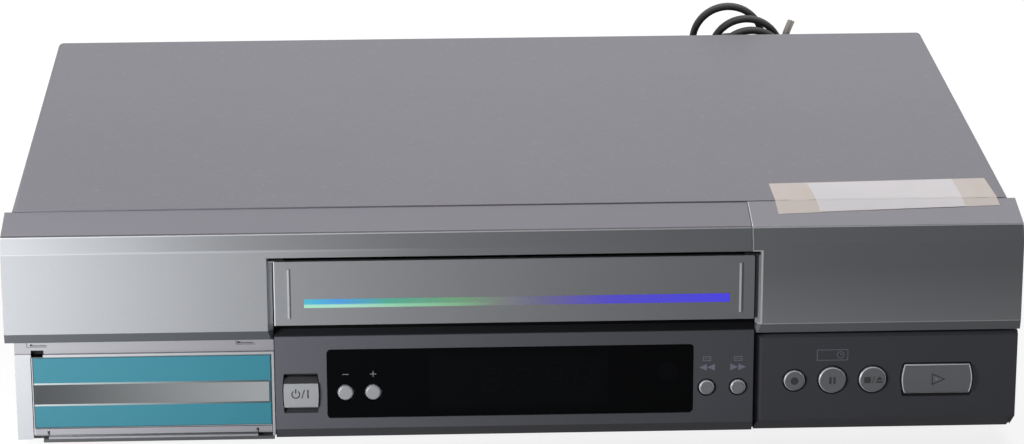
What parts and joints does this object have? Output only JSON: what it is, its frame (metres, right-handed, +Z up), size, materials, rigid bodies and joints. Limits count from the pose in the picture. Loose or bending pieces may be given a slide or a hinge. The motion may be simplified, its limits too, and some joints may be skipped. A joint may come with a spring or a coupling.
{
  "type": "video cassette recorder",
  "caption": "Low, wide video tape recorder with a silver front band, hinged cassette flap, dark lower panel with display window and round buttons, and a tied mains lead.",
  "frame": {"origin": "middle of the bounding box of the set itself, at the height of the table it stands on", "axes": "+X to the right seen from the front, +Y from the front face to the rear, +Z up"},
  "size_m": [0.4, 0.3181, 0.1039],
  "materials": {
    "painted_silver": "satin silver-grey paint on steel sheet",
    "steel": "plain zinc-coated sheet",
    "dark_steel": "blackened screws",
    "silver_plastic": "metallic silver paint on a moulding",
    "dark_plastic": "metallic dark grey paint on a moulding",
    "pale_plastic": "bright silver-white paint on a moulding",
    "door_plastic": "clear-coated plastic with a plain teal and grey printed sheet",
    "window_plastic": "black smoked window",
    "black_plastic": "plain black moulding",
    "white_plastic": "natural acetal",
    "button_plastic": "metallic silver paint on a moulding",
    "board": "green lacquered circuit board",
    "lamination": "varnished iron laminations with a copper winding",
    "alloy": "machined or extruded aluminium",
    "tin_plate": "tinned steel can",
    "bright_steel": "ground and polished steel",
    "brass_part": "turned brass and steel guide",
    "foot_rubber": "black moulded rubber",
    "cord_rubber": "black flexible sheath",
    "tie_plastic": "pale grey wire tie"
  },
  "bodies": {
    "case": {"top_cover": "painted_silver", "bottom_plate": "steel", "rear_panel": "steel", "feet": "foot_rubber", "cover_screws": "dark_steel", "front_frame": "silver_plastic", "band_end_cap": "silver_plastic", "centre_panel": "dark_plastic", "right_panel": "dark_plastic", "av_frame": "pale_plastic", "display_window": "window_plastic", "display_module": "black_plastic", "ir_receiver": "window_plastic", "av_sockets": "black_plastic", "front_board": "board", "tact_switches": "black_plastic", "main_board": "board", "board_parts": "black_plastic", "power_board": "board", "transformer": "lamination", "capacitors": "black_plastic", "heat_sink": "alloy", "tuner": "tin_plate", "scart_sockets": "black_plastic", "phono_sockets": "black_plastic", "cord_gland": "cord_rubber", "deck_chassis": "steel", "left_bracket": "steel", "right_bracket": "steel", "housing_bridge": "steel", "lower_drum": "alloy", "tape_heads": "bright_steel", "loading_motor": "steel", "power_cord": "cord_rubber", "cord_hank": "cord_rubber", "cord_tie": "tie_plastic", "mains_plug": "cord_rubber"},
    "av_door": {"av_door": "door_plastic"},
    "cassette_flap": {"cassette_flap": "silver_plastic"},
    "power_button": {"power_button": "button_plastic"},
    "channel_down_button": {"channel_down_button": "button_plastic"},
    "channel_up_button": {"channel_up_button": "button_plastic"},
    "rewind_button": {"rewind_button": "button_plastic"},
    "forward_button": {"forward_button": "button_plastic"},
    "record_button": {"record_button": "button_plastic"},
    "pause_button": {"pause_button": "button_plastic"},
    "stop_eject_button": {"stop_eject_button": "button_plastic"},
    "play_button": {"play_button": "button_plastic"},
    "carriage": {"carriage": "steel"},
    "cassette_holder": {"cassette_holder": "steel"},
    "upper_drum": {"upper_drum": "alloy"},
    "supply_reel": {"supply_reel": "black_plastic"},
    "takeup_reel": {"takeup_reel": "black_plastic"},
    "capstan": {"capstan": "bright_steel"},
    "pinch_arm": {"pinch_arm": "steel"},
    "pinch_roller": {"pinch_roller": "foot_rubber"},
    "loading_gear": {"loading_gear": "white_plastic"},
    "loading_worm": {"loading_worm": "white_plastic"},
    "supply_guide": {"supply_guide": "brass_part"},
    "takeup_guide": {"takeup_guide": "brass_part"}
  },
  "joints": [
    {"name": "flap_hinge", "type": "hinge", "parent": "case", "child": "cassette_flap", "pos_m": [0, -0.1338, 0.0804], "axis": [1, 0, 0], "range_deg": [0, 90], "stiffness_Nm_per_rad": 0.006, "springref_deg": -28.65},
    {"name": "av_door_hinge", "type": "hinge", "parent": "case", "child": "av_door", "pos_m": [0, -0.1318, 0.009], "axis": [1, 0, 0], "range_deg": [0, 90]},
    {"name": "power_press", "type": "slide", "parent": "case", "child": "power_button", "axis": [0, 1, 0], "range_m": [0, 0.0008], "stiffness_N_per_m": 1500, "springref_m": -0.0002},
    {"name": "channel_down_press", "type": "slide", "parent": "case", "child": "channel_down_button", "axis": [0, 1, 0], "range_m": [0, 0.0008], "stiffness_N_per_m": 1500, "springref_m": -0.0002},
    {"name": "channel_up_press", "type": "slide", "parent": "case", "child": "channel_up_button", "axis": [0, 1, 0], "range_m": [0, 0.0008], "stiffness_N_per_m": 1500, "springref_m": -0.0002},
    {"name": "rewind_press", "type": "slide", "parent": "case", "child": "rewind_button", "axis": [0, 1, 0], "range_m": [0, 0.0008], "stiffness_N_per_m": 1500, "springref_m": -0.0002},
    {"name": "forward_press", "type": "slide", "parent": "case", "child": "forward_button", "axis": [0, 1, 0], "range_m": [0, 0.0008], "stiffness_N_per_m": 1500, "springref_m": -0.0002},
    {"name": "record_press", "type": "slide", "parent": "case", "child": "record_button", "axis": [0, 1, 0], "range_m": [0, 0.0008], "stiffness_N_per_m": 1500, "springref_m": -0.0002},
    {"name": "pause_press", "type": "slide", "parent": "case", "child": "pause_button", "axis": [0, 1, 0], "range_m": [0, 0.0008], "stiffness_N_per_m": 1500, "springref_m": -0.0002},
    {"name": "stop_eject_press", "type": "slide", "parent": "case", "child": "stop_eject_button", "axis": [0, 1, 0], "range_m": [0, 0.0008], "stiffness_N_per_m": 1500, "springref_m": -0.0002},
    {"name": "play_press", "type": "slide", "parent": "case", "child": "play_button", "axis": [0, 1, 0], "range_m": [0, 0.0008], "stiffness_N_per_m": 1500, "springref_m": -0.0002},
    {"name": "carriage_slide", "type": "slide", "parent": "case", "child": "carriage", "axis": [0, 1, 0], "range_m": [0, 0.062]},
    {"name": "holder_drop", "type": "slide", "parent": "carriage", "child": "cassette_holder", "axis": [0, 0, -1], "range_m": [0, 0.02]},
    {"name": "drum_spin", "type": "hinge", "parent": "case", "child": "upper_drum", "pos_m": [0, 0.051, 0.0372], "axis": [0.1045, 0, 0.9945], "continuous": true},
    {"name": "supply_reel_spin", "type": "hinge", "parent": "case", "child": "supply_reel", "pos_m": [-0.04625, -0.059, 0.029], "axis": [0, 0, 1], "continuous": true},
    {"name": "takeup_reel_spin", "type": "hinge", "parent": "case", "child": "takeup_reel", "pos_m": [0.04625, -0.059, 0.029], "axis": [0, 0, 1], "continuous": true},
    {"name": "capstan_spin", "type": "hinge", "parent": "case", "child": "capstan", "pos_m": [0.062, 0.0245, 0.02], "axis": [0, 0, 1], "continuous": true},
    {"name": "pinch_arm_swing", "type": "hinge", "parent": "case", "child": "pinch_arm", "pos_m": [0.086, 0.0425, 0.036], "axis": [0, 0, -1], "range_deg": [0, 34.4]},
    {"name": "pinch_roller_spin", "type": "hinge", "parent": "pinch_arm", "child": "pinch_roller", "pos_m": [0.08266, 0.01873, 0.045], "axis": [0, 0, 1], "continuous": true},
    {"name": "loading_gear_spin", "type": "hinge", "parent": "case", "child": "loading_gear", "pos_m": [-0.082, 0.065, 0.0397], "axis": [0, 0, 1], "range_deg": [0, 270]},
    {"name": "loading_worm_spin", "type": "hinge", "parent": "case", "child": "loading_worm", "pos_m": [-0.082, 0.0854, 0.0397], "axis": [1, 0, 0], "range_deg": [0, 8640]},
    {"name": "supply_guide_slide", "type": "slide", "parent": "case", "child": "supply_guide", "axis": [0, 1, 0], "range_m": [0, 0.056]},
    {"name": "takeup_guide_slide", "type": "slide", "parent": "case", "child": "takeup_guide", "axis": [0, 1, 0], "range_m": [0, 0.056]}
  ],
  "couplings": [
    {"joint": "takeup_guide_slide", "follows": "supply_guide_slide", "ratio": 1},
    {"joint": "loading_gear_spin", "follows": "supply_guide_slide", "rad_per_m": 84.14},
    {"joint": "loading_worm_spin", "follows": "supply_guide_slide", "rad_per_m": 2692.5}
  ]
}
